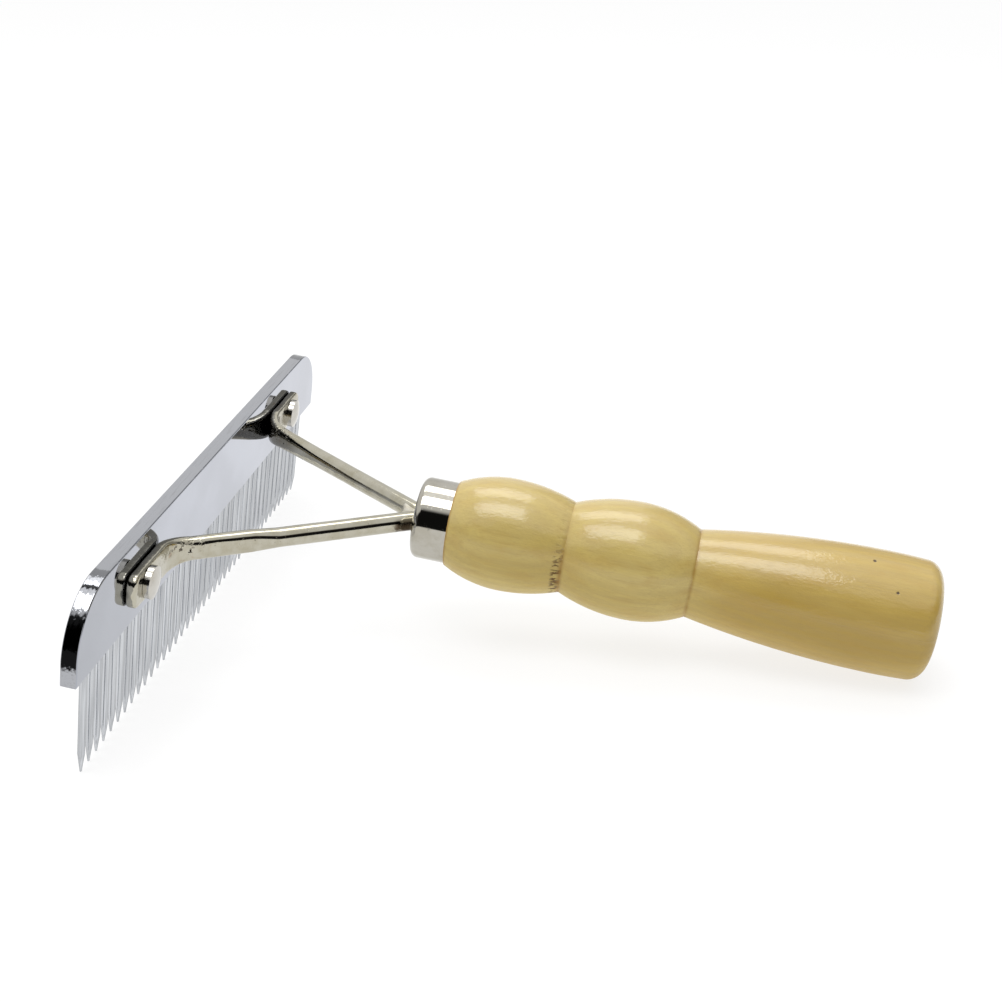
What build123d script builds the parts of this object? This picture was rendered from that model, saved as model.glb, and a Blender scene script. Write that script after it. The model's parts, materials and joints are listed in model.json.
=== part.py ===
from build123d import *

import os
from math import asin, atan2, cos, hypot, sin, sqrt

# A wooden-handled rake comb for grooming: a steel bar with one row of pins, carried by two bent
# rods that run through a ferrule into a turned handle. Millimetres.
#
# The tool's own directions: x runs along the handle, away from the bar's front face, y along the
# bar, and z away from the pins' points. Its own origin is the middle of the front face's top edge.
# The part is stored as the tool rests on a table: on its pin points and on the rim of its butt.

# Comb bar
bar_length = 163.0
bar_height = 18.9
bar_thickness = 3.6
bar_top_round = 14.5
bar_bottom_round = 1.8
bar_edge_round = 0.3

# Pins
tooth_count = 39
tooth_pitch = 3.9
tooth_radius = 0.8
tooth_reach = 25.3
tooth_taper = 4.5
tooth_point_radius = 0.22
tooth_seat = 6.5

# Rods: a tang in the handle, a bend at the crotch, a splayed run, an elbow at the bar
rod_radius = 2.3
rod_gap = 0.06
tang_length = 30.0
fork_z = -7.2
crotch_x = 48.9
crotch_bend = 3.0
elbow_y = 36.6
elbow_bend = 9.0

# Feet: the rods' ends, pressed oval on the way to the elbow and flat through it. Each stage is how
# far along its stretch it lies, and how much of the pressing is done there.
foot_thickness = 2.5
foot_half_width = 4.0
foot_end_y = 58.2
foot_corner_round = 2.5
foot_edge_round = 0.6
oval_length = 20.0
oval_stages = ((0, 0), (0.15, 0.08), (0.3, 0.18), (1, 0.25))
elbow_stages = ((0.33, 0.45), (0.67, 0.75), (1, 1))

# Rivets
rivet_y = 50.9
rivet_z = -9.6
rivet_radius = 2.0
rivet_head_radius = 3.7
rivet_head_rim = 1.3
rivet_head_dome = 0.7
rivet_tail_radius = 3.1
rivet_tail_dome = 0.9

# Weld between the rods
weld_start_x = 44.2
weld_hollow = 1.2
weld_half_height = 1.7

# Ferrule
ferrule_x = 49.75
ferrule_length = 8.5
ferrule_radius = 9.8
ferrule_wall = 0.8
ferrule_nose_round = 1.7
ferrule_clearance = 0.15

# Handle, turned about its own axis: (x, radius) of each turn of its outline
handle_z = -6.9
shoulder = (ferrule_x + ferrule_length, 10.25)
first_crest = (71.5, 13.5)
first_groove = (86.1, 10.9)
second_crest = (102.0, 14.1)
second_groove = (116.15, 10.5)
swell_crest = (160.0, 14.45)
butt_rim = (172.2, 13.9)
butt_round = 4.0

# The tilt at rest: the pin points and the arc of the butt's rim both touch the table.
tip_x = -bar_thickness / 2
tip_z = -bar_height - tooth_reach
fall_run = butt_rim[0] - swell_crest[0]
fall_drop = swell_crest[1] - butt_rim[1]
fall_arc = (fall_run**2 + fall_drop**2) / (2 * fall_drop)
rim_x = butt_rim[0] - butt_round
rim_radius = swell_crest[1] - fall_arc + sqrt((fall_arc - butt_round) ** 2 - (rim_x - swell_crest[0]) ** 2)
rim_z = handle_z - rim_radius
rim_distance = hypot(rim_x - tip_x, rim_z - tip_z)
rest_tilt = atan2(rim_z - tip_z, rim_x - tip_x) - asin(butt_round / rim_distance)

# The middle of its length at rest, between the pin points and the far side of the butt
rear_end = tip_x * cos(rest_tilt) + (tip_z * sin(rest_tilt) - tooth_point_radius)
front_end = rim_x * cos(rest_tilt) + (2 * handle_z - rim_z) * sin(rest_tilt) + butt_round
rest_height = tip_x * sin(rest_tilt) - tip_z * cos(rest_tilt)
tool = Plane(
    origin=(-(rear_end + front_end) / 2, 0, rest_height),
    x_dir=(cos(rest_tilt), 0, -sin(rest_tilt)),
    z_dir=(sin(rest_tilt), 0, cos(rest_tilt)),
)

# Worked out from the sizes above
tang_y = rod_radius + rod_gap / 2
tang_end_x = ferrule_x + tang_length
foot_middle_x = foot_thickness / 2
rod_slope = (elbow_y - tang_y) / (crotch_x - foot_middle_x)
weld_half_width = tang_y + (crotch_x - weld_start_x) * rod_slope
spigot_x = ferrule_x + ferrule_wall
spigot_radius = ferrule_radius - ferrule_wall
rivet_head_x = foot_thickness + rivet_head_rim
tooth_ys = [tooth_pitch * (i - (tooth_count - 1) / 2) for i in range(tooth_count)]


def at(x, y, z):
    """The place of a point given in the tool's own directions."""
    return tool.from_local_coords(Vector(x, y, z))


def across(x, y, z):
    """A plane across the handle: its x is the tool's y, and its y the tool's z."""
    return Plane(origin=at(x, y, z), x_dir=tool.y_dir, z_dir=tool.x_dir)


def upright(x, y, z):
    """A plane along the handle: its x is the tool's x, and its y the tool's z."""
    return Plane(origin=at(x, y, z), x_dir=tool.x_dir, z_dir=-tool.y_dir)


def level(x, y, z):
    """A plane in line with the fork: its x and y are the tool's own."""
    return Plane(origin=at(x, y, z), x_dir=tool.x_dir, z_dir=tool.z_dir)


def save(piece, name):
    """Label a finished piece and write it under the same name."""
    piece.part.label = name
    export_step(piece.part, f"parts/{name}.step")


os.makedirs("parts", exist_ok=True)

# ---- Handle: a spigot for the ferrule, two beads, then a long swell to a flat butt
with BuildPart() as handle:
    with BuildSketch(upright(0, 0, handle_z)) as handle_outline:
        with BuildLine():
            Polyline((spigot_x, 0), (spigot_x, spigot_radius), (shoulder[0], spigot_radius), shoulder)
            TangentArc(first_crest, shoulder, tangent=(-1, 0))
            TangentArc(first_crest, first_groove, tangent=(1, 0))
            TangentArc(second_crest, first_groove, tangent=(-1, 0))
            TangentArc(second_crest, second_groove, tangent=(1, 0))
            TangentArc(swell_crest, second_groove, tangent=(-1, 0))
            TangentArc(swell_crest, butt_rim, tangent=(1, 0))
            Polyline(butt_rim, (butt_rim[0], 0), (spigot_x, 0))
        make_face()
        fillet(handle_outline.vertices().sort_by_distance(butt_rim)[0], radius=butt_round)
    revolve(axis=Axis(at(0, 0, handle_z), tool.x_dir))
    with BuildSketch(across(spigot_x, 0, fork_z)):
        SlotOverall(4 * tang_y, 2 * rod_radius)
    extrude(amount=tang_end_x - spigot_x, mode=Mode.SUBTRACT)
save(handle, "handle")

# ---- Ferrule: a drawn cup with a rounded nose and a slot for both rods
with BuildPart() as ferrule:
    with BuildSketch(across(ferrule_x, 0, handle_z)):
        Circle(ferrule_radius)
    extrude(amount=ferrule_length)
    fillet(ferrule.edges().sort_by(Axis(at(0, 0, 0), tool.x_dir))[0], radius=ferrule_nose_round)
    with BuildSketch(across(spigot_x, 0, handle_z)):
        Circle(spigot_radius)
    extrude(amount=ferrule_length - ferrule_wall, mode=Mode.SUBTRACT)
    with BuildSketch(across(ferrule_x, 0, fork_z)):
        SlotOverall(4 * tang_y + 2 * ferrule_clearance, 2 * (rod_radius + ferrule_clearance))
    extrude(amount=ferrule_wall, mode=Mode.SUBTRACT)
save(ferrule, "ferrule")

# ---- Comb bar: a thick flat bar with its top corners rounded off, drilled for pins and rivets
with BuildPart() as comb_bar:
    with BuildSketch(across(0, 0, 0)) as bar_outline:
        Rectangle(bar_length, bar_height, align=(Align.CENTER, Align.MAX))
        corners = bar_outline.vertices().group_by(Axis.Y)
        fillet(corners[-1], radius=bar_top_round)
        fillet(corners[0], radius=bar_bottom_round)
    extrude(amount=-bar_thickness)
    faces_front_to_back = comb_bar.faces().sort_by(Axis(at(0, 0, 0), tool.x_dir))
    fillet(faces_front_to_back[0].edges() + faces_front_to_back[-1].edges(), radius=bar_edge_round)
    for y in tooth_ys:
        with BuildSketch(level(tip_x, y, -bar_height)):
            Circle(tooth_radius)
        extrude(amount=tooth_seat, mode=Mode.SUBTRACT)
    for y in (-rivet_y, rivet_y):
        with BuildSketch(across(0, y, rivet_z)):
            Circle(rivet_radius)
        extrude(amount=-bar_thickness, mode=Mode.SUBTRACT)
save(comb_bar, "comb_bar")

# ---- Pins: round wire, pointed at the free end, seated in the bar's lower edge
for i, y in enumerate(tooth_ys):
    with BuildPart() as tooth:
        with BuildSketch(upright(tip_x, y, -bar_height)):
            with BuildLine():
                Polyline(
                    (0, tooth_seat),
                    (tooth_radius, tooth_seat),
                    (tooth_radius, tooth_taper - tooth_reach),
                    (tooth_point_radius, -tooth_reach),
                    (0, -tooth_reach),
                    close=True,
                )
            make_face()
        revolve(axis=Axis(at(tip_x, y, 0), tool.z_dir))
    save(tooth, f"tooth_{i + 1:02d}")

# ---- Arms: each is one round rod, with its tang in the handle and its far end pressed to a foot
arms = []
for side, name in ((-1, "left_arm"), (1, "right_arm")):
    tang_end = at(tang_end_x, side * tang_y, fork_z)
    crotch = at(crotch_x, side * tang_y, fork_z)
    elbow = at(foot_middle_x, side * elbow_y, rivet_z)
    foot_end = at(foot_middle_x, side * foot_end_y, rivet_z)
    with BuildPart() as arm:
        with BuildLine() as rod_line:
            FilletPolyline(tang_end, crotch, elbow, foot_end, radius=(crotch_bend, elbow_bend))
        tang_line, crotch_arc, run, elbow_arc, foot_line = rod_line.edges().sort_by_distance(tang_end)
        run_split = 1 - oval_length / run.length
        foot_start_y = side * tool.to_local_coords(foot_line @ 0).Y
        with BuildSketch(across(0, side * (foot_start_y + foot_end_y) / 2, rivet_z)):
            RectangleRounded(foot_end_y - foot_start_y, 2 * foot_half_width, foot_corner_round)
        extrude(amount=foot_thickness)
        fillet(arm.edges(), radius=foot_edge_round)
        with BuildSketch(Plane(origin=tang_end, x_dir=tool.z_dir, z_dir=-tool.x_dir)):
            Circle(rod_radius)
        sweep(path=Wire([tang_line, crotch_arc, run.trim(0, run_split)]))
        stages = [(run, run_split + (1 - run_split) * place, share) for place, share in oval_stages]
        stages += [(elbow_arc, place, share) for place, share in elbow_stages]
        for stretch, place, share in stages:
            with BuildSketch(Plane(origin=stretch @ place, x_dir=tool.z_dir, z_dir=stretch % place)):
                Ellipse(
                    rod_radius + share * (foot_half_width - rod_radius),
                    rod_radius + share * (2 - share) * (foot_middle_x - rod_radius),
                )
        loft()
        with BuildSketch(across(0, side * rivet_y, rivet_z)):
            Circle(rivet_radius)
        extrude(amount=foot_thickness, mode=Mode.SUBTRACT)
    arms.append(arm)
    save(arm, name)

# ---- Weld: a bead that fills the crotch between the rods, up to the ferrule
with BuildPart() as fork_weld:
    with BuildSketch(level(0, 0, fork_z)):
        with BuildLine():
            ThreePointArc(
                (weld_start_x, -weld_half_width),
                (weld_start_x + weld_hollow, 0),
                (weld_start_x, weld_half_width),
            )
            Polyline(
                (weld_start_x, weld_half_width),
                (crotch_x, tang_y),
                (ferrule_x, tang_y),
                (ferrule_x, -tang_y),
                (crotch_x, -tang_y),
                (weld_start_x, -weld_half_width),
            )
        make_face()
    extrude(amount=weld_half_height, both=True)
    for arm in arms:
        add(arm.part, mode=Mode.SUBTRACT)
save(fork_weld, "fork_weld")

# ---- Rivets: a domed head on the foot, a shank through foot and bar, a low peened tail behind
for side, name in ((-1, "rivet_left"), (1, "rivet_right")):
    with BuildPart() as rivet:
        with BuildSketch(upright(0, side * rivet_y, rivet_z)):
            with BuildLine():
                TangentArc(
                    (-bar_thickness - rivet_tail_dome, 0),
                    (-bar_thickness, rivet_tail_radius),
                    tangent=(0, 1),
                )
                Polyline(
                    (-bar_thickness, rivet_tail_radius),
                    (-bar_thickness, rivet_radius),
                    (foot_thickness, rivet_radius),
                    (foot_thickness, rivet_head_radius),
                    (rivet_head_x, rivet_head_radius),
                )
                TangentArc(
                    (rivet_head_x + rivet_head_dome, 0),
                    (rivet_head_x, rivet_head_radius),
                    tangent=(0, 1),
                )
                Line((rivet_head_x + rivet_head_dome, 0), (-bar_thickness - rivet_tail_dome, 0))
            make_face()
        revolve(axis=Axis(at(0, side * rivet_y, rivet_z), tool.x_dir))
    save(rivet, name)
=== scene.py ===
import json
from math import acos, atan2, cos, pi, radians, sin, sqrt, tan

import bpy
from mathutils import Euler, Matrix, Vector, noise


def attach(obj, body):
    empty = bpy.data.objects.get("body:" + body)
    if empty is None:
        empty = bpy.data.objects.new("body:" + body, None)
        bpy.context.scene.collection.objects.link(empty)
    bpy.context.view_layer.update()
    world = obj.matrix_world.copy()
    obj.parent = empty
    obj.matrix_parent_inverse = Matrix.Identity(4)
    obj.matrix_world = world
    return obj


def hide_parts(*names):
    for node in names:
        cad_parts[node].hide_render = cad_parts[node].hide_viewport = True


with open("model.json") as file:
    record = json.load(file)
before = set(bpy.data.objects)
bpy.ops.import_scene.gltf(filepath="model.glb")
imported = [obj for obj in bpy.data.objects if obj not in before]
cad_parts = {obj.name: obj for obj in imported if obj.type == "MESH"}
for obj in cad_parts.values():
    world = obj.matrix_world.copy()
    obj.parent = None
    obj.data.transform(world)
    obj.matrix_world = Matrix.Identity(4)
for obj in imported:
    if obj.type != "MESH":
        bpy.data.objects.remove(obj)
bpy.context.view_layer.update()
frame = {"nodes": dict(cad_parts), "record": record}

# ---- The tool's own directions, worked out from the mount on its butt, in mm:
# x along the handle from the bar's front face, y along the bar, z away from the pins' points
MM = 0.001
handle_end_x = 172.2
handle_z = -6.9
butt = frame["record"]["mounts"][0]
along = Vector(butt["axis"])
tilt = atan2(-along.z, along.x)
upward = Vector((sin(tilt), 0, cos(tilt)))
tool_origin = Vector(butt["pos_m"]) - along * handle_end_x * MM - upward * handle_z * MM
tool = Matrix.Translation(tool_origin) @ Euler((0, tilt, 0)).to_matrix().to_4x4() @ Matrix.Scale(MM, 4)

# Sizes as in the CAD model
bar_thickness = 3.6
rod_radius = 2.3
tang_y = 2.33
tang_end_x = 79.75
fork_z = -7.2
crotch_x = 48.9
crotch_bend = 3.0
elbow_y = 36.6
elbow_bend = 9.0
rivet_z = -9.6
foot_thickness = 2.5
foot_half_width = 4.0
foot_end_y = 58.2
foot_corner_round = 2.5
foot_edge_round = 0.6
foot_end_bulge = 0.12
bar_clearance = 0.02
ferrule_x = 49.75
ferrule_length = 8.5
weld_start_x = 44.2
weld_hollow = 1.2
weld_half_height = 1.7
weld_melt = 0.7
weld_into_ferrule = 0.4
weld_front_round = 1.3
first_groove_x = 86.1
second_groove_x = 116.15

# Small knots and dents in the handle: (place, radius)
knots = (
    ((155.5, -3.23, 7.07), 0.5),
    ((161.2, -9.93, 3.57), 0.42),
    ((127.0, -7.0, -15.5), 0.35),
    ((98.0, 9.0, 3.0), 0.4),
)

# How each rod is pressed: (mm from the start of its elbow, share from 0 for round to 1 for flat)
pressing = {
    "left_arm": ((-20, 0), (-17, 0.1), (-14, 0.2), (-7, 0.24), (0, 0.26), (3, 0.45), (6, 0.75), (8.6, 1)),
    "right_arm": ((-30, 0), (-15, 0.05), (-7, 0.12), (0, 0.22), (3, 0.42), (6, 0.75), (8.6, 1)),
}


# ---- Materials
class Graph:
    """A node tree that is built up by calls."""

    def __init__(self, tree):
        self.tree = tree

    def node(self, kind, **settings):
        made = self.tree.nodes.new(kind)
        for setting, value in settings.items():
            setattr(made, setting, value)
        return made

    def join(self, value, socket):
        """Feed a socket from another node's output or from a number."""
        if isinstance(value, bpy.types.NodeSocket):
            self.tree.links.new(value, socket)
        else:
            socket.default_value = value

    def math(self, operation, *values):
        made = self.node("ShaderNodeMath", operation=operation)
        for value, socket in zip(values, made.inputs):
            self.join(value, socket)
        return made.outputs[0]

    def ramp(self, value, low, high, to_low=0.0, to_high=1.0):
        """A smooth change from to_low to to_high as the value goes from low to high."""
        made = self.node("ShaderNodeMapRange", interpolation_type="SMOOTHSTEP")
        for socket, number in zip(made.inputs, (value, low, high, to_low, to_high)):
            self.join(number, socket)
        return made.outputs[0]

    def band(self, value, low, high, soft):
        """One between low and high, and nought outside them."""
        rise = self.ramp(value, low - soft, low + soft)
        return self.product(rise, self.ramp(value, high - soft, high + soft, 1.0, 0.0))

    def chain(self, operation, values):
        """Use an operation on the first two values, then on the result and the next, and so on."""
        result = values[0]
        for value in values[1:]:
            result = self.math(operation, result, value)
        return result

    def product(self, *values):
        return self.chain("MULTIPLY", values)

    def total(self, *values):
        return self.chain("ADD", values)

    def greatest(self, *values):
        return self.chain("MAXIMUM", values)

    def split(self, vector):
        made = self.node("ShaderNodeSeparateXYZ")
        self.join(vector, made.inputs[0])
        return made.outputs


class Look(Graph):
    """A procedural material. Its place is where a point is in the tool's own directions, in mm."""

    def __init__(self, name, **sockets):
        self.material = bpy.data.materials.new(name)
        self.material.use_nodes = True
        super().__init__(self.material.node_tree)
        self.shader = self.tree.nodes["Principled BSDF"]
        for socket, value in sockets.items():
            self.shader.inputs[socket.replace("_", " ")].default_value = value
        mapping = self.node("ShaderNodeMapping", vector_type="TEXTURE")
        mapping.inputs["Location"].default_value = tool_origin
        mapping.inputs["Rotation"].default_value = (0, tilt, 0)
        mapping.inputs["Scale"].default_value = (MM, MM, MM)
        self.join(self.node("ShaderNodeTexCoord").outputs["Object"], mapping.inputs["Vector"])
        self.place = mapping.outputs[0]
        self.x, self.y, self.z = self.split(self.place)

    def noise(self, stretch, detail=2.0, roughness=0.5, shift=0.0):
        """Noise whose grains are 1 / stretch mm long in each of the tool's directions."""
        mapping = self.node("ShaderNodeMapping")
        self.join(self.place, mapping.inputs["Vector"])
        mapping.inputs["Location"].default_value = (shift, shift, shift)
        mapping.inputs["Scale"].default_value = stretch
        made = self.node("ShaderNodeTexNoise")
        self.join(mapping.outputs[0], made.inputs["Vector"])
        made.inputs["Scale"].default_value = 1.0
        made.inputs["Detail"].default_value = detail
        made.inputs["Roughness"].default_value = roughness
        return made.outputs["Fac"]

    def mix(self, share, first, second):
        made = self.node("ShaderNodeMix", data_type="RGBA")
        self.join(share, made.inputs["Factor"])
        for colour, socket in ((first, made.inputs["A"]), (second, made.inputs["B"])):
            self.join(colour if isinstance(colour, bpy.types.NodeSocket) else (*colour, 1.0), socket)
        return made.outputs["Result"]

    def bump(self, height, depth, below=None):
        """A relief whose full height is depth, in mm."""
        made = self.node("ShaderNodeBump")
        made.inputs["Strength"].default_value = 1.0
        made.inputs["Distance"].default_value = depth * MM
        self.join(height, made.inputs["Height"])
        if below is not None:
            self.join(below, made.inputs["Normal"])
        return made.outputs["Normal"]

    def set(self, socket, value):
        self.join(value, self.shader.inputs[socket])


def round_the_axis(look, y, z):
    """The distance from a line that runs along the handle, in mm."""
    sideways = look.math("POWER", look.math("SUBTRACT", look.y, y), 2.0)
    upwards = look.math("POWER", look.math("SUBTRACT", look.z, z), 2.0)
    return look.math("SQRT", look.total(sideways, upwards))


def spot(look, place, radius):
    """A round mark at one place, as a number from nought to one."""
    distance = look.node("ShaderNodeVectorMath", operation="DISTANCE")
    look.join(look.place, distance.inputs[0])
    distance.inputs[1].default_value = place
    return look.ramp(distance.outputs["Value"], radius * 0.5, radius, 1.0, 0.0)


def wood_look():
    look = Look("varnished_wood", Specular_IOR_Level=0.15, Coat_IOR=1.6)
    tree_heart = (-31.0, 22.0)
    blotch = look.noise((0.03, 0.09, 0.09), 3.0)
    fibre = look.noise((0.035, 1.5, 1.5), 5.0, 0.62)
    fine = look.noise((0.09, 5.5, 5.5), 3.0, 0.6, shift=7.0)
    fleck = look.ramp(look.noise((0.28, 4.2, 4.2), 2.0, 0.5, shift=3.0), 0.66, 0.76)
    ring = look.math("SINE", look.product(round_the_axis(look, *tree_heart), 2.6))
    ring = look.ramp(look.total(ring, look.product(blotch, 1.6)), -0.4, 1.9)
    beads = look.mix(look.ramp(blotch, 0.3, 0.7), (0.665, 0.52, 0.18), (0.595, 0.45, 0.13))
    swell = look.mix(look.ramp(blotch, 0.3, 0.7), (0.61, 0.44, 0.125), (0.505, 0.34, 0.072))
    colour = look.mix(look.ramp(look.x, 112.0, 126.0), beads, swell)
    colour = look.mix(look.product(ring, 0.22), colour, (0.468, 0.338, 0.13))
    colour = look.mix(look.ramp(fibre, 0.48, 0.72, 0.0, 0.3), colour, (0.442, 0.299, 0.104))
    colour = look.mix(look.ramp(fine, 0.42, 0.7, 0.0, 0.25), colour, (0.442, 0.312, 0.117))
    colour = look.mix(look.product(fleck, 0.3), colour, (0.351, 0.202, 0.078))
    mottle = look.ramp(look.noise((0.12, 0.3, 0.3), 4.0, 0.6, shift=13.0), 0.46, 0.66)
    colour = look.mix(look.product(mottle, 0.25), colour, (0.52, 0.325, 0.072))
    # The end grain on the butt: rings and pores instead of fibres
    pores = look.ramp(look.noise((4.0, 4.0, 4.0), 2.0, 0.6), 0.55, 0.72)
    rings = look.math("SINE", look.product(round_the_axis(look, *tree_heart), 5.2))
    end = look.mix(look.ramp(rings, -0.2, 1.0, 0.1, 0.6), (0.58, 0.42, 0.22), (0.42, 0.27, 0.12))
    end = look.mix(look.product(pores, 0.45), end, (0.25, 0.14, 0.06))
    colour = look.mix(look.ramp(look.x, handle_end_x - 0.25, handle_end_x - 0.05), colour, end)
    # Fibres torn out by the gouge beside the first groove, mostly on the lower half
    torn = look.product(
        look.band(look.x, first_groove_x - 2.0, first_groove_x - 0.1, 0.5),
        look.ramp(look.z, handle_z + 7.0, handle_z - 1.0, 0.1, 1.0),
        look.ramp(look.noise((0.3, 1.25, 1.25), 2.0, 0.5, shift=11.0), 0.5, 0.58),
    )
    colour = look.mix(look.product(torn, 0.92), colour, (0.15, 0.07, 0.008))
    # Dark lines in the grooves and against the ferrule: dirt and varnish, partly painted shade in these
    # recesses; the first groove is darker towards the bottom
    second = look.product(
        look.band(look.x, second_groove_x - 0.4, second_groove_x + 0.3, 0.45),
        look.ramp(look.noise((0.2, 0.3, 0.3), 2.0, shift=5.0), 0.3, 0.55, 0.3, 0.8),
    )
    first = look.product(
        look.band(look.x, first_groove_x - 0.5, first_groove_x + 0.3, 0.6),
        look.ramp(look.z, handle_z + 9.0, handle_z - 2.0, 0.2, 1.0),
    )
    collar = look.band(look.x, ferrule_x + ferrule_length - 1.0, ferrule_x + ferrule_length + 0.3, 0.3)
    groove_dirt_and_shade = look.greatest(second, first, collar)
    colour = look.mix(look.product(groove_dirt_and_shade, 0.8), colour, (0.351, 0.182, 0.026))
    # Knots and dents
    marks = look.greatest(*[spot(look, place, radius) for place, radius in knots])
    colour = look.mix(look.product(marks, 0.95), colour, (0.06, 0.03, 0.01))
    look.set("Base Color", colour)
    relief = look.bump(look.noise((0.05, 0.28, 0.28), 2.0), 0.04)
    relief = look.bump(look.noise((0.6, 1.0, 1.0), 3.0, 0.65, shift=4.0), 0.075, relief)
    relief = look.bump(fibre, 0.02, relief)
    relief = look.bump(look.product(torn, -1.0), 0.3, relief)
    relief = look.bump(look.product(marks, -1.0), 0.15, relief)
    look.set("Normal", relief)
    look.set("Coat Normal", relief)
    look.set("Coat Roughness", look.ramp(look.z, handle_z - 1.0, handle_z + 8.0, 0.34, 0.08))
    look.set("Coat Weight", look.ramp(look.z, handle_z - 2.0, handle_z + 7.0, 0.3, 1.0))
    look.set("Roughness", look.ramp(fine, 0.3, 0.7, 0.42, 0.58))
    return look.material


def chrome_look():
    look = Look("bar_chrome", Metallic=1.0)
    haze = look.noise((0.06, 0.05, 0.06), 2.0)
    scratch = look.ramp(look.noise((2.0, 0.06, 5.0), 3.0, 0.6), 0.55, 0.75)
    colour = look.mix(look.ramp(haze, 0.3, 0.7), (0.503, 0.522, 0.584), (0.451, 0.468, 0.522))
    # Painted shade: the chrome gets darker towards the bar's near end, at negative y
    colour = look.mix(look.ramp(look.y, -30.0, -75.0, 0.0, 0.5), colour, (0.3, 0.312, 0.336))
    # The sheared edges under the plate are wavy, and darker than the polished faces
    corner = 0.18
    edge = look.band(look.x, corner - bar_thickness, -corner, 0.08)
    streak = look.noise((1.5, 0.12, 1.5), 3.0, 0.6, shift=2.0)
    colour = look.mix(look.product(edge, 0.8), colour, (0.403, 0.41, 0.429))
    colour = look.mix(look.product(edge, look.ramp(streak, 0.5, 0.75), 0.35), colour, (0.26, 0.26, 0.273))
    # Round the corner to each end the photo shows a dull stretch, a dark wavy line, a bright patch and a
    # black band. They are probably reflections, and are coloured in here by their place on the bar
    wavy = look.product(look.math("SUBTRACT", streak, 0.5), 4.0)
    reach = look.total(look.math("ABSOLUTE", look.y), look.product(wavy, 0.6))
    upper = look.ramp(look.z, -3.0, -1.5)
    # The dim stretch, the dark line and the black band are painted reflections: dark colour set on the
    # chrome by its place
    painted_dim_stretch = look.product(edge, upper, look.band(reach, 66.0, 70.4, 0.4), 0.5)
    colour = look.mix(painted_dim_stretch, colour, (0.02, 0.02, 0.021))
    dark_line = look.product(edge, upper, look.band(reach, 71.5, 72.5, 0.15), 0.97)
    colour = look.mix(dark_line, colour, (0.004, 0.004, 0.004))
    drop = look.total(look.z, wavy)
    black = look.product(edge, look.ramp(reach, 74.5, 76.0), look.band(drop, -14.8, -4.3, 0.7), 0.985)
    colour = look.mix(black, colour, (0.002, 0.002, 0.002))
    look.set("Base Color", colour)
    rough = look.ramp(scratch, 0.0, 1.0, 0.035, 0.075)
    look.set("Roughness", look.total(rough, look.product(edge, 0.06)))
    relief = look.bump(look.noise((0.2, 0.09, 0.16), 1.0), 0.01)
    wave = look.product(look.noise((0.9, 0.35, 0.35), 3.0, 0.55, shift=6.0), edge)
    look.set("Normal", look.bump(wave, 0.14, relief))
    return look.material


def nickel(name, tint, shade, roughness, dents, pits):
    """Bright nickel plate over worked steel, with stains, small dents and pits."""
    look = Look(name, Metallic=1.0)
    stain = look.noise((0.25, 0.25, 0.25), 4.0, 0.6)
    pit = look.ramp(look.noise((1.7, 1.7, 1.7), 2.0, 0.5, shift=9.0), 0.7, 0.76)
    pit = look.product(pit, pits)
    colour = look.mix(look.ramp(stain, 0.35, 0.7), tint, shade)
    colour = look.mix(pit, colour, (0.05, 0.04, 0.03))
    relief = look.bump(look.noise((0.12, 0.22, 0.22), 2.0), dents)
    relief = look.bump(look.product(pit, -1.0), 0.05, relief)
    look.set("Base Color", colour)
    look.set("Normal", relief)
    look.set("Roughness", look.ramp(stain, 0.3, 0.7, roughness, roughness * 1.8))
    return look, colour, relief


def rod_look():
    tint = (0.49, 0.467, 0.387)
    shade = (0.405, 0.377, 0.287)
    look, colour, relief = nickel("rod_nickel", tint, shade, 0.07, 0.05, 0.5)
    near_bar = look.ramp(look.x, 14.0, 6.0)
    # Deep pits and a rough skin where the rod was pressed
    holes = look.product(
        look.ramp(look.noise((0.6, 0.6, 0.85), 2.0, 0.55, shift=2.0), 0.54, 0.6),
        look.band(look.x, 3.0, 8.0, 0.8),
        look.band(look.z, rivet_z + 0.4, rivet_z + 2.4, 0.6),
    )
    colour = look.mix(look.product(holes, 0.85), colour, (0.045, 0.03, 0.02))
    rust = look.ramp(look.noise((0.5, 0.5, 0.5), 3.0, 0.6, shift=6.0), 0.6, 0.72)
    colour = look.mix(look.product(rust, near_bar, 0.45), colour, (0.32, 0.2, 0.1))
    # Painted shade: the side that faces the bar is darker near the bar, a guess from its mirror image in
    # the bar
    facing = look.node("ShaderNodeVectorMath", operation="DOT_PRODUCT")
    look.join(look.node("ShaderNodeNewGeometry").outputs["Normal"], facing.inputs[0])
    facing.inputs[1].default_value = -along
    bar_side_painted_shade = look.product(look.ramp(facing.outputs["Value"], 0.15, 0.6), near_bar)
    colour = look.mix(look.product(bar_side_painted_shade, 0.6), colour, (0.07, 0.064, 0.055))
    # The skin burnt by the weld
    burnt = look.product(
        look.band(look.x, 45.6, 49.4, 0.7),
        look.ramp(look.noise((0.5, 0.5, 0.5), 3.0, 0.6, shift=1.0), 0.25, 0.5),
        look.ramp(look.z, fork_z + 1.9, fork_z + 0.6),
        look.ramp(look.y, -1.6, -2.8),
    )
    colour = look.mix(look.product(burnt, 0.9), colour, (0.05, 0.028, 0.012))
    look.set("Base Color", colour)
    relief = look.bump(look.product(holes, -1.0), 0.35, relief)
    skin = look.product(look.noise((0.7, 0.7, 0.7), 3.0, 0.6, shift=8.0), near_bar)
    look.set("Normal", look.bump(skin, 0.09, relief))
    return look.material


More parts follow.
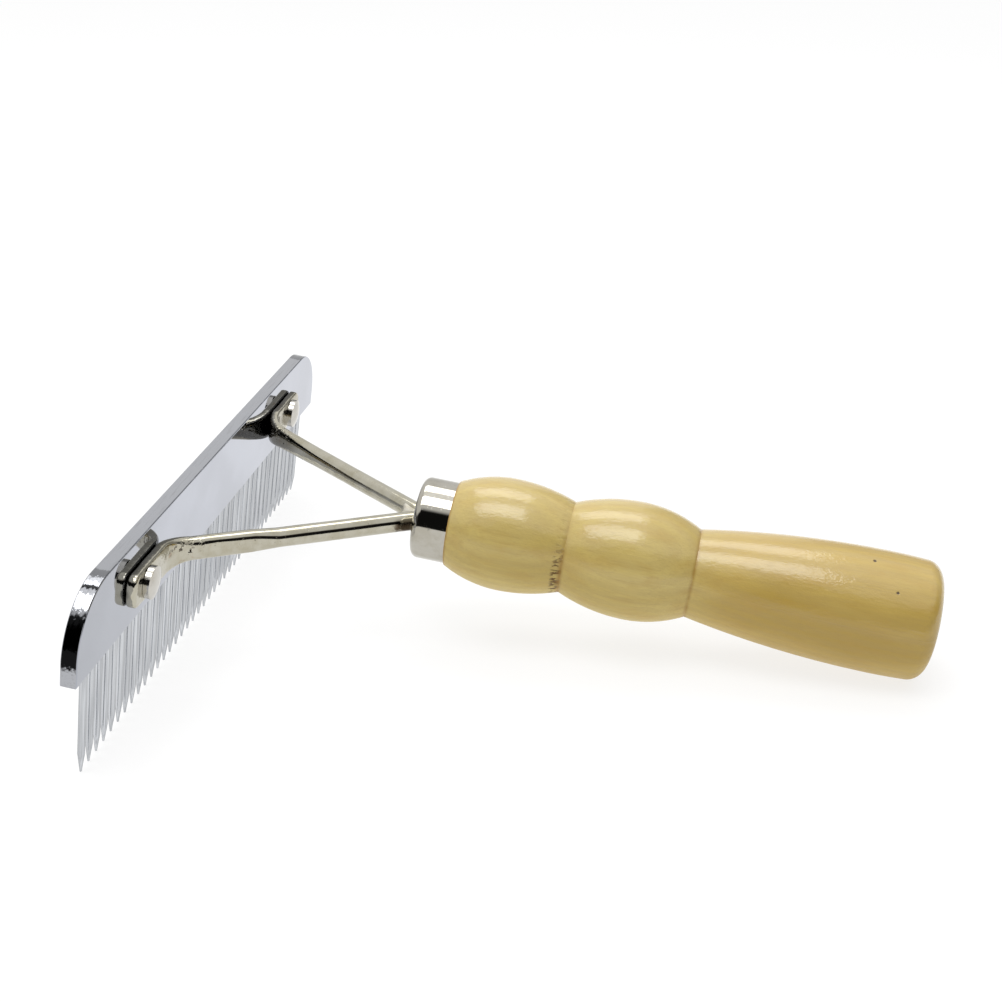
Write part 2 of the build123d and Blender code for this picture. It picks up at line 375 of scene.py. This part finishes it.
def pin_look():
    look = Look("pin_steel", Metallic=1.0)
    drawn = look.noise((3.0, 3.0, 0.05), 3.0, 0.6)
    # The tint changes from pin to pin
    each = look.noise((0.0, 0.9, 0.0), 2.0, 0.5, shift=5.0)
    colour = look.mix(look.ramp(drawn, 0.35, 0.7), (0.655, 0.672, 0.697), (0.421, 0.432, 0.454))
    colour = look.mix(look.ramp(each, 0.4, 0.65, 0.0, 0.4), colour, (0.402, 0.412, 0.423))
    # Painted shade: each pin's colour is darker where it is seen at a low angle, towards its sides
    facing = look.node("ShaderNodeLayerWeight").outputs["Facing"]
    colour = look.mix(look.ramp(facing, 0.3, 0.8, 0.0, 0.75), colour, (0.26, 0.267, 0.28))
    look.set("Base Color", colour)
    look.set("Roughness", look.ramp(drawn, 0.3, 0.7, 0.12, 0.22))
    look.set("Normal", look.bump(look.noise((2.5, 2.5, 0.12), 2.0), 0.02))
    return look.material


# The plain nickel pieces: slot, tint, shade, roughness, dents and pits
plated = (
    ("ferrule_nickel", (0.475, 0.456, 0.404), (0.413, 0.39, 0.328), 0.045, 0.02, 0.15),
    ("weld_nickel", (0.65, 0.624, 0.546), (0.52, 0.488, 0.403), 0.28, 0.1, 0.5),
    ("rivet_nickel", (0.572, 0.552, 0.507), (0.494, 0.474, 0.429), 0.09, 0.03, 0.3),
)
looks = {slot: nickel(slot, *finish)[0].material for slot, *finish in plated}
looks["varnished_wood"] = wood_look()
looks["bar_chrome"] = chrome_look()
looks["rod_nickel"] = rod_look()
looks["pin_steel"] = pin_look()
for subpart in frame["record"]["subparts"]:
    mesh = frame["nodes"][subpart["node"]].data
    mesh.materials.clear()
    mesh.materials.append(looks[subpart["material_slot"]])


# ---- Pieces made again with their worked, uneven shapes
def rounded_line(corners, bends, step):
    """Points along a line of straight runs, with an arc of each bend's radius at each corner."""
    points = [corners[0]]
    for before, corner, after, bend in zip(corners, corners[1:], corners[2:], bends):
        back = (before - corner).normalized()
        onward = (after - corner).normalized()
        opening = acos(back.dot(onward))
        reach = bend / tan(opening / 2)
        start = corner + back * reach
        centre = corner + (back + onward).normalized() * bend / sin(opening / 2)
        first = start - centre
        last = corner + onward * reach - centre
        turn = pi - opening
        run = (start - points[-1]).length
        count = max(2, round(run / step))
        points += [points[-1].lerp(start, i / count) for i in range(1, count)]
        count = max(8, round(turn * bend / step))
        for i in range(count + 1):
            a = turn * i / count
            points.append(centre + (first * sin(turn - a) + last * sin(a)) / sin(turn))
    count = round((corners[-1] - points[-1]).length / step)
    start = points[-1]
    return points + [start.lerp(corners[-1], i / count) for i in range(1, count + 1)]


def pressed_share(arm, distance):
    """How far the rod is pressed at a distance from the start of its elbow."""
    table = pressing[arm]
    if distance <= table[0][0]:
        return 0.0
    for (low, share), (high, next_share) in zip(table, table[1:]):
        if distance <= high:
            t = (distance - low) / (high - low)
            return share + (next_share - share) * t
    return 1.0


def add_piece(name, points, faces, replaced, slot):
    """Make a smooth piece from points in the tool's own directions and let it stand for its CAD node."""
    mesh = bpy.data.meshes.new(name)
    mesh.from_pydata([tool @ point for point in points], [], faces)
    mesh.materials.append(looks[slot])
    for polygon in mesh.polygons:
        polygon.use_smooth = True
    piece = bpy.data.objects.new(name, mesh)
    bpy.context.scene.collection.objects.link(piece)
    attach(piece, "root")
    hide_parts(replaced)


def make_arm(side, name, replaced):
    """A rod from its tang to its foot: round, then pressed oval, then flat, with uneven faces."""
    ring_gap = 0.5
    end_rings = 12
    around = 56
    foot_x = foot_thickness / 2
    line = rounded_line(
        [
            Vector((tang_end_x, side * tang_y, fork_z)),
            Vector((crotch_x, side * tang_y, fork_z)),
            Vector((foot_x, side * elbow_y, rivet_z)),
            Vector((foot_x, side * foot_end_y, rivet_z)),
        ],
        (crotch_bend, elbow_bend),
        ring_gap,
    )
    end_slices = [foot_corner_round * sin(pi / 2 * i / end_rings) for i in range(end_rings + 1)]
    straight_end = foot_end_y - foot_corner_round
    line = [point for point in line if abs(point.y) < straight_end - 0.1]
    line += [Vector((foot_x, side * (straight_end + along_end), rivet_z)) for along_end in end_slices]
    lengths = [0.0]
    for before, after in zip(line, line[1:]):
        lengths.append(lengths[-1] + (after - before).length)
    elbow_turn = atan2(crotch_x - foot_x, elbow_y - tang_y)
    foot_start_y = elbow_y + elbow_bend * tan(elbow_turn / 2)
    foot_start = max(i for i, point in enumerate(line) if abs(point.y) <= foot_start_y)
    elbow_start = lengths[foot_start] - elbow_bend * elbow_turn
    points = []
    for i, (centre, length) in enumerate(zip(line, lengths)):
        tangent = (line[min(i + 1, len(line) - 1)] - line[max(i - 1, 0)]).normalized()
        outward = tangent.cross(Vector((0, 0, 1))).normalized()
        raised = outward.cross(tangent)
        share = pressed_share(replaced, length - elbow_start)
        tall = rod_radius + share * (foot_half_width - rod_radius)
        thick = rod_radius + share * (2 - share) * (foot_x - rod_radius)
        past = abs(centre.y) - straight_end
        if past > 0:
            # The foot's corners are round, and its faces draw together at its tip
            drop = foot_corner_round - sqrt(max(0.0, foot_corner_round**2 - past**2))
            tall -= min(drop, foot_corner_round * 0.92)
            thick -= foot_edge_round * max(0.0, past / foot_corner_round - 0.75) * 2.4
        # From a circle where the rod is round to a rounded rectangle where it is flat
        power = 2 / (2 + 2.6 * share)
        for k in range(around):
            a = 2 * pi * k / around
            across = abs(cos(a)) ** power * (1 if cos(a) > 0 else -1)
            high = abs(sin(a)) ** power * (1 if sin(a) > 0 else -1)
            point = centre + outward * across * thick + raised * high * tall
            # The press leaves the faces uneven, most of all where the rod is flat
            uneven = noise.noise(point * 0.16 + Vector((0, side * 5, 3))) * (0.03 + 0.16 * share)
            uneven += noise.noise(point * 0.55) * 0.05 * share
            point += (point - centre).normalized() * uneven
            point.x = max(point.x, bar_clearance)
            points.append(point)
    faces = []
    for i in range(len(line) - 1):
        for k in range(around):
            n = (k + 1) % around
            faces.append((i * around + k, i * around + n, (i + 1) * around + n, (i + 1) * around + k))
    faces.append(tuple(range(around))[::-1])
    last = (len(line) - 1) * around
    points.append(line[-1] + Vector((0, side * foot_end_bulge, 0)))
    faces += [(last + k, last + (k + 1) % around, len(points) - 1) for k in range(around)]
    add_piece(name, points, faces, replaced, "rod_nickel")


def make_weld():
    """The bead between the rods: a web that is rounded at its hollow front edge and sags in the middle."""
    slope = (elbow_y - tang_y) / (crotch_x - foot_thickness / 2)
    front_x = weld_start_x - weld_melt
    hollow = weld_hollow + weld_melt
    across, lengthwise = 32, 20
    rings = []
    for face in (1, -1):
        rows = []
        for j in range(lengthwise + 1):
            v = j / lengthwise
            row = []
            for i in range(across + 1):
                u = 2 * i / across - 1
                front = front_x + hollow * (1 - u * u)
                x = front + (ferrule_x + weld_into_ferrule - front) * v
                half = tang_y + max(0.0, crotch_x - x) * slope
                depth = min(1.0, (x - front) / weld_front_round)
                height = weld_half_height * sqrt(1 - (1 - depth) ** 2) * (0.86 + 0.26 * u * u)
                ripple = noise.noise(Vector((x * 0.5, u * 2.2, face * 4))) * 0.14 * depth
                row.append(Vector((x, u * half, fork_z + face * (height + ripple))))
            rows.append(row)
        rings.append(rows)
    top, under = rings
    points = [point for row in top for point in row]
    shift = len(points)
    points += [point for row in under for point in row]
    wide = across + 1
    faces = []
    for j in range(lengthwise):
        for i in range(across):
            a = j * wide + i
            faces.append((a, a + 1, a + wide + 1, a + wide))
            faces.append((shift + a, shift + a + wide, shift + a + wide + 1, shift + a + 1))
    for i in range(across):
        faces.append((i, shift + i, shift + i + 1, i + 1))
        a = lengthwise * wide + i
        faces.append((a, a + 1, shift + a + 1, shift + a))
    for j in range(lengthwise):
        a = j * wide
        faces.append((a, a + wide, shift + a + wide, shift + a))
        a += across
        faces.append((a, shift + a, shift + a + wide, a + wide))
    add_piece("fork_weld_bead", points, faces, "fork_weld", "weld_nickel")


make_arm(-1, "left_arm_worked", "left_arm")
make_arm(1, "right_arm_worked", "right_arm")
make_weld()


# ---- Studio: a pale floor, a pale sky with two long soft lights, and a dark room behind the camera
def floor_look():
    """A pale floor that gives off part of its own light, so that the shadows on it stay faint."""
    look = Look("pale_floor", Roughness=0.8, Specular_IOR_Level=0.0, Emission_Strength=0.78)
    light_patch = (0.24, 0.24, 0.24)
    dark_patch = (0.2364, 0.2364, 0.2364)
    look.set("Base Color", look.mix(look.noise((0.004, 0.004, 0.004), 2.0), light_patch, dark_patch))
    look.set("Emission Color", white)
    return look.material


white = (1.0, 1.0, 1.0, 1.0)
floor_half = 4.0
floor_corners = [(x * floor_half, y * floor_half, 0) for x, y in ((-1, -1), (1, -1), (1, 1), (-1, 1))]
floor_mesh = bpy.data.meshes.new("floor")
floor_mesh.from_pydata(floor_corners, [], [(0, 1, 2, 3)])
floor_mesh.materials.append(floor_look())
floor = bpy.data.objects.new("floor", floor_mesh)
bpy.context.scene.collection.objects.link(floor)

# The sky: a dark room behind the camera up to a bright ceiling, and a pale wall ahead
world = bpy.data.worlds.new("studio")
bpy.context.scene.world = world
world.use_nodes = True
sky = Graph(world.node_tree)
sky_x, sky_y, sky_z = sky.split(sky.node("ShaderNodeTexCoord").outputs["Generated"])
behind = sky.ramp(sky_y, 0.05, 0.35, 1.0, 0.0)
raised = sky.total(sky_z, sky.product(sky.math("ABSOLUTE", sky_x), 0.4))
raised = sky.math("SUBTRACT", raised, sky.product(sky_x, 0.1))
room = sky.ramp(raised, 0.7, 0.84, sky.ramp(sky_x, -0.9, -0.3, 0.12, 0.009), 0.9)
wall = sky.ramp(sky_z, 0.2, 0.6, 0.85, 1.0)
# The wall is darker low down to the right
shade = sky.product(sky.ramp(sky_x, 0.02, 0.14, 0.0, 0.6), sky.ramp(sky_z, 0.5, 0.7, 1.0, 0.0))
wall = sky.product(wall, sky.math("SUBTRACT", 1.0, shade))
difference = sky.math("SUBTRACT", room, wall)
brightness = sky.total(wall, sky.product(difference, behind))
# The ceiling is brightest straight overhead
brightness = sky.total(brightness, sky.ramp(sky_z, 0.9, 0.97, 0.0, 0.5))
# The sky itself looks pale from every side
direct = sky.node("ShaderNodeLightPath").outputs["Is Camera Ray"]
brightness = sky.greatest(brightness, sky.product(direct, 1.1))
background = sky.tree.nodes["Background"]
background.inputs["Color"].default_value = white
sky.join(brightness, background.inputs["Strength"])

# Two long soft lights overhead, along the handle: (place, length, width, brightness)
soft_lights = (
    ((-0.12, -0.25, 0.93), 0.64, 0.42, 3.4),
    ((-0.12, 0.43, 0.93), 0.64, 0.4, 2.9),
)
for i, (place, length, width, radiance) in enumerate(soft_lights):
    lamp_data = bpy.data.lights.new(f"soft_light_{i}", "AREA")
    lamp_data.shape = "RECTANGLE"
    lamp_data.size = length
    lamp_data.size_y = width
    lamp_data.energy = radiance * pi * length * width
    lamp = bpy.data.objects.new(f"soft_light_{i}", lamp_data)
    bpy.context.scene.collection.objects.link(lamp)
    lamp.location = place
    lamp.rotation_euler = (-atan2(place[1], place[2]), 0, 0)
bpy.context.scene.view_settings.view_transform = "Standard"

# ---- Camera, at the angle from which such a tool is shown
view_azimuth = radians(9.696)
view_elevation = radians(24.358)
view_roll = radians(0.529)
view_distance = 362.83 * MM
view_target = Vector((-13.776, 3.209, 34.212)) * MM
camera_data = bpy.data.cameras.new("camera")
camera_data.lens = 54.768
camera_data.sensor_width = 36.0
camera_data.clip_start = 0.01
camera = bpy.data.objects.new("camera", camera_data)
bpy.context.scene.collection.objects.link(camera)
aim = Matrix.Rotation(view_azimuth, 4, "Z") @ Matrix.Rotation(pi / 2 - view_elevation, 4, "X")
aim = aim @ Matrix.Rotation(view_roll, 4, "Z")
camera.matrix_world = Matrix.Translation(view_target) @ aim @ Matrix.Translation((0, 0, view_distance))
bpy.context.scene.camera = camera
